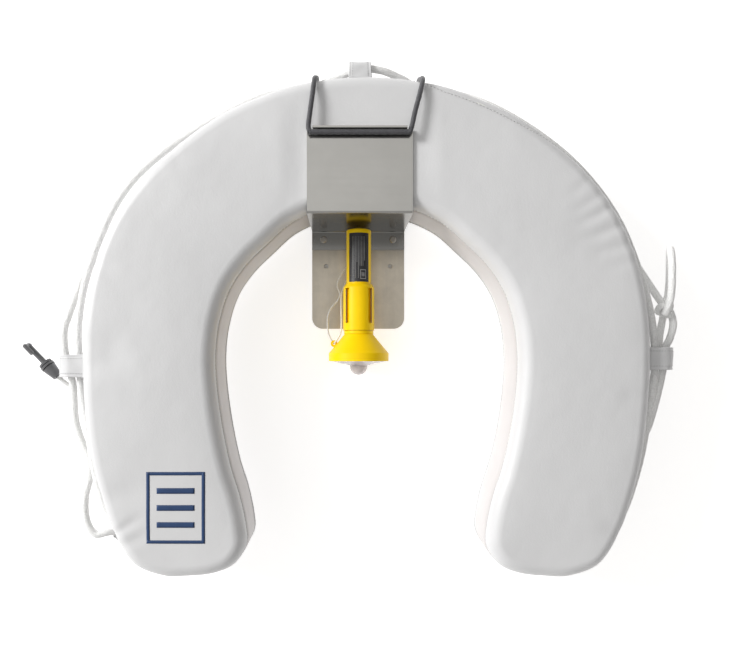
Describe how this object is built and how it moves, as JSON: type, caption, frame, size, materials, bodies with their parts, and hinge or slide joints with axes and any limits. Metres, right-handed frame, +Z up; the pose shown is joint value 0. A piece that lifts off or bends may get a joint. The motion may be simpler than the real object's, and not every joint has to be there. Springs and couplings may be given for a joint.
{
  "type": "horseshoe lifebuoy with wall bracket and light",
  "caption": "Coated-fabric horseshoe lifebuoy with ropes and hook, hung on a stainless shelf bracket with an elastic retaining cord and a clipped inverting light.",
  "frame": {"origin": "centre of the four wall screw holes, on the back plate's rear face", "axes": "+Z up, the front looks along -Y, +X to the viewer's right"},
  "size_m": [0.7295, 0.119, 0.5638],
  "materials": {
    "brushed_plate": "brushed, slightly dull",
    "satin_steel": "satin",
    "screw_steel": "polished stainless",
    "black_cord": "braided elastic cord",
    "yellow_plastic": "semi-gloss moulded",
    "foam": "closed-cell foam",
    "white_vinyl": "smooth coated fabric",
    "tab_vinyl": "coated fabric strip",
    "white_rope": "braided",
    "grey_plastic": "moulded",
    "navy_print": "printed",
    "black_rubber": "matte",
    "black_label": "satin print",
    "cell_steel": "printed sleeve",
    "reflector_chrome": "vacuum metallised",
    "green_board": "solder mask",
    "clear_plastic": "clear moulded",
    "switch_metal": "plain",
    "gold_ball": "gold plated",
    "white_line": "twisted"
  },
  "bodies": {
    "bracket": {"back_plate": "brushed_plate", "cradle": "satin_steel", "cradle_screws": "screw_steel", "retaining_cord": "black_cord", "cord_lugs": "screw_steel", "lug_rivets": "screw_steel", "light_clip": "yellow_plastic", "clip_screws": "screw_steel"},
    "buoy": {"foam_front": "foam", "foam_rear": "foam", "cover_front": "white_vinyl", "cover_rear": "white_vinyl", "outer_gusset": "white_vinyl", "inner_gusset": "white_vinyl", "tab_top": "tab_vinyl", "tab_left": "tab_vinyl", "tab_right": "tab_vinyl", "rope_sleeves": "tab_vinyl", "grab_line": "white_rope", "closing_line": "white_rope", "hook_line": "white_rope", "hook_ferrule": "grey_plastic", "cord_hook": "grey_plastic", "eye_line": "white_rope", "eye_knot": "white_rope", "eye_loop": "white_rope", "name_panel": "navy_print"},
    "light": {"light_tube": "yellow_plastic", "tube_cap": "yellow_plastic", "cap_seal": "black_rubber", "light_label": "black_label", "battery_cells": "cell_steel", "contact_spring": "screw_steel", "lamp_head": "yellow_plastic", "head_seal": "black_rubber", "reflector": "reflector_chrome", "circuit_board": "green_board", "led": "clear_plastic", "tilt_switch": "switch_metal", "lens": "clear_plastic", "lanyard_eye": "yellow_plastic", "light_lanyard": "white_line"},
    "ball": {"tilt_ball": "gold_ball"}
  },
  "joints": [
    {"name": "buoy_lift", "type": "slide", "parent": "bracket", "child": "buoy", "axis": [0, 0, 1], "range_m": [0, 0.11], "deforming": ["retaining_cord"]},
    {"name": "light_pull", "type": "slide", "parent": "bracket", "child": "light", "axis": [0, 0, -1], "range_m": [0, 0.12]},
    {"name": "tilt_ball_roll", "type": "slide", "parent": "light", "child": "ball", "axis": [0, 0, 1], "range_m": [0, 0.004]}
  ]
}
